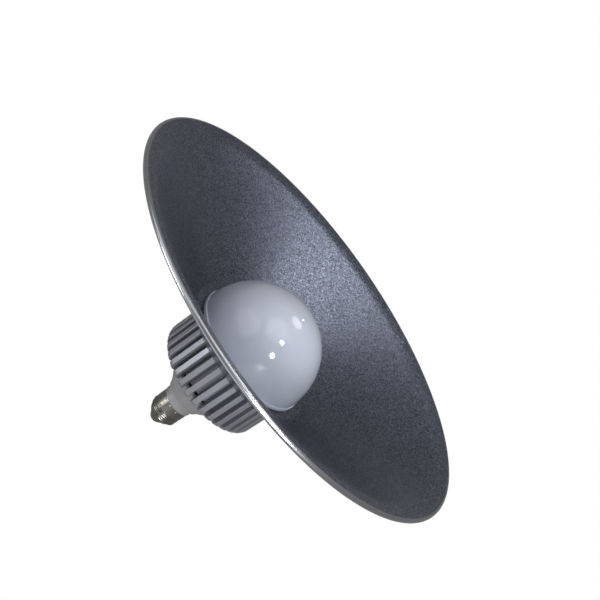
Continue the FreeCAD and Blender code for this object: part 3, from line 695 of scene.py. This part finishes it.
def build_core(sink):
    """Core, disc and flange of the heat sink, with its screw holes."""
    low, disc = sink.seat_z, sink.seat_z + sink.disc
    flange, top = low + sink.flange, low + sink.core
    edge = sink.flange_edge
    axis = 0.05 * MM  # lies in the wire hole, which takes it away
    section = [(axis, low), (sink.radius - edge, low)]
    section += arc((sink.radius - edge, low + edge), edge, -90, 0, 4)[1:]
    section += arc((sink.radius - edge, flange - edge), edge, 0, 90, 4)
    section += [(sink.root_r + edge, flange)]
    section += arc((sink.root_r + edge, flange + edge), edge, 270, 180, 4)[1:]
    section += [(sink.root_r, top), (sink.bore_r, top), (sink.bore_r, disc), (axis, disc)]
    bm = bmesh.new()
    spin(bm, section, CORE_COLUMNS)
    piece = put("heat_sink_core", bm, 35, "sink_aluminium", "heat_sink")

    below, above = low - MM, disc + MM
    holes = [(sink.wire_hole_r, below, above, 0.0, 0.0)]
    for angle in SCREW_ANGLES:
        holes += [
            (sink.head_r, below, low + sink.head_depth, sink.disc_circle, angle + 60),
            (sink.hole_r, low, above, sink.disc_circle, angle + 60),
            (sink.hole_r, below, low + sink.board_depth, sink.disc_circle, angle),
            (sink.hole_r, below, low + sink.shade_depth, sink.shade_circle, angle),
        ]
    drill(piece, holes)


# ---------------------------------------------------------------- stage
LAMPS = (
    # name, place, aim, width, watts
    ("key", (0.75, -0.68, 0.45), (0, 0, 0.08), 0.4, 3.4),
    ("top", (0, -0.7, 1.0), (0, 0, 0.08), 1.0, 1.6),
    ("window", (-0.6, -1.1, -0.1), (0, 0, 0.03), 0.4, 12.0),
    ("front", (-0.354, -0.522, -0.436), (0, 0, 0.03), 0.1, 2.6),
    ("low", (-0.227, -0.276, -0.657), (0, 0, 0.03), 0.1, 0.8),
    ("below", (0.05, -0.25, -0.8), (0, -0.05, 0.03), 0.6, 1.0),
    ("right", (0.75, -0.6, -0.45), (0, 0, 0.03), 1.0, 2.0),
    ("under", (-0.034, 0.262, -0.548), (0, 0.1, 0.03), 0.2, 0.3),
    ("spark", (-0.043, 0.51, -0.532), (0, 0.05, 0.03), 0.03, 0.05),
)


def add_camera(stage):
    """Camera moved round the lamp's axis, tilted up, turned aside, then rolled about its view."""
    orbit = Matrix.Rotation(-stage.orbit, 3, "Z")
    place = orbit @ Vector((0, -stage.distance, -stage.drop))
    turn = orbit @ Matrix.Rotation(-stage.yaw, 3, "Z") @ Matrix.Rotation(stage.pitch, 3, "X")
    right, up, back = (turn @ Vector(axis) for axis in ((1, 0, 0), (0, 0, 1), (0, -1, 0)))
    roll = Matrix.Rotation(-stage.roll, 3, back)
    axes = Matrix((roll @ right, roll @ up, back)).transposed()
    data = bpy.data.cameras.new("camera")
    data.sensor_width = 36
    data.lens = stage.lens
    data.clip_start = 0.01
    camera = bpy.data.objects.new("camera", data)
    bpy.context.scene.collection.objects.link(camera)
    camera.matrix_world = Matrix.Translation(place) @ axes.to_4x4()
    bpy.context.scene.camera = camera


def add_lamp(name, place, aim, width, watts):
    """Round soft lamp that looks at its aim."""
    light = bpy.data.lights.new(name, "AREA")
    light.shape = "DISK"
    light.size = width
    light.energy = watts
    lamp = bpy.data.objects.new(name, light)
    bpy.context.scene.collection.objects.link(lamp)
    lamp.location = place
    lamp.rotation_euler = (Vector(aim) - Vector(place)).to_track_quat("-Z", "Y").to_euler()


def add_floor(stage):
    """Pale floor, lightened to the camera alone so that it casts no more light on the lamp."""
    bm = bmesh.new()
    bmesh.ops.create_grid(bm, x_segments=1, y_segments=1, size=stage.floor_size)
    floor = bpy.data.objects.new("floor", to_mesh("floor", bm, 30))
    floor.location = (0, 0, stage.floor_z)
    bpy.context.scene.collection.objects.link(floor)
    material = uneven_material("floor_paper", (0.6, 0.6, 0.6), 0.01, 0.9, 0.02, 5.0, 0.0001)
    tree = material.node_tree
    rays = tree.nodes.new("ShaderNodeLightPath")
    principled = tree.nodes["Principled BSDF"]
    principled.inputs["Emission Color"].default_value = (0.45, 0.45, 0.45, 1)
    feed(tree, rays.outputs["Is Camera Ray"], principled.inputs["Emission Strength"])
    floor.data.materials.append(material)


def add_surroundings(stage):
    """White surroundings that are plain white to the camera and dimmer as a light."""
    world = bpy.data.worlds.new("surroundings")
    bpy.context.scene.world = world
    world.use_nodes = True
    tree = world.node_tree
    tree.nodes.clear()
    rays = tree.nodes.new("ShaderNodeLightPath")
    end = tree.nodes.new("ShaderNodeOutputWorld")
    white = (1, 1, 1, 1)
    light = add(tree, "ShaderNodeBackground", Color=white, Strength=stage.ambient).outputs[0]
    for ray, strength in (("Is Glossy Ray", stage.mirrored), ("Is Camera Ray", 1.0)):
        other = add(tree, "ShaderNodeBackground", Color=white, Strength=strength).outputs[0]
        mix = tree.nodes.new("ShaderNodeMixShader")
        feed(tree, rays.outputs[ray], mix.inputs[0])
        feed(tree, light, mix.inputs[1])
        feed(tree, other, mix.inputs[2])
        light = mix.outputs[0]
    feed(tree, light, end.inputs[0])


# ---------------------------------------------------------------- operators
class HIGHBAY_OT_finishes(bpy.types.Operator):
    """Make the shared node groups and finish every solid"""
    bl_idname = "highbay.finishes"
    bl_label = "Finishes"

    def execute(self, context):
        make_uneven_group()
        make_hammer_group()
        finish_solids(context.scene.highbay_finish)
        return {"FINISHED"}


class HIGHBAY_OT_shade(bpy.types.Operator):
    """Build the spun shade with its rolled bead"""
    bl_idname = "highbay.shade"
    bl_label = "Shade"

    def execute(self, context):
        build_shade(context.scene.highbay_shade)
        return {"FINISHED"}


class HIGHBAY_OT_cap(bpy.types.Operator):
    """Build the wound screw shell"""
    bl_idname = "highbay.cap"
    bl_label = "Screw cap"

    def execute(self, context):
        build_cap(context.scene.highbay_cap)
        return {"FINISHED"}


class HIGHBAY_OT_sink(bpy.types.Operator):
    """Build the heat sink's fins and core"""
    bl_idname = "highbay.sink"
    bl_label = "Heat sink"

    def execute(self, context):
        build_fins(context.scene.highbay_sink)
        build_core(context.scene.highbay_sink)
        return {"FINISHED"}


class HIGHBAY_OT_stage(bpy.types.Operator):
    """Build the camera, the lamps, the floor and the surroundings"""
    bl_idname = "highbay.stage"
    bl_label = "Stage"

    def execute(self, context):
        stage = context.scene.highbay_stage
        add_camera(stage)
        for lamp in LAMPS:
            add_lamp(*lamp)
        add_floor(stage)
        add_surroundings(stage)
        context.scene.view_settings.view_transform = "Standard"
        return {"FINISHED"}


class HIGHBAY_PT_panel(bpy.types.Panel):
    """Sidebar panel of the high bay light"""
    bl_idname = "HIGHBAY_PT_panel"
    bl_label = "High bay light"
    bl_space_type = "VIEW_3D"
    bl_region_type = "UI"
    bl_category = "High bay"

    def draw(self, context):
        for operator in OPERATORS:
            self.layout.operator(operator.bl_idname)


SETTINGS = {
    "highbay_finish": FinishSettings,
    "highbay_shade": ShadeSettings,
    "highbay_cap": CapSettings,
    "highbay_sink": SinkSettings,
    "highbay_stage": StageSettings,
}
OPERATORS = (HIGHBAY_OT_finishes, HIGHBAY_OT_shade, HIGHBAY_OT_cap, HIGHBAY_OT_sink, HIGHBAY_OT_stage)


def register():
    for name, group in SETTINGS.items():
        bpy.utils.register_class(group)
        setattr(bpy.types.Scene, name, PointerProperty(type=group))
    for operator in OPERATORS:
        bpy.utils.register_class(operator)
    bpy.utils.register_class(HIGHBAY_PT_panel)


def unregister():
    bpy.utils.unregister_class(HIGHBAY_PT_panel)
    for operator in reversed(OPERATORS):
        bpy.utils.unregister_class(operator)
    for name, group in reversed(SETTINGS.items()):
        delattr(bpy.types.Scene, name)
        bpy.utils.unregister_class(group)


def main():
    """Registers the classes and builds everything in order."""
    register()
    bpy.ops.highbay.finishes()
    bpy.ops.highbay.shade()
    bpy.ops.highbay.cap()
    bpy.ops.highbay.sink()
    bpy.ops.highbay.stage()


if __name__ == "__main__":
    main()
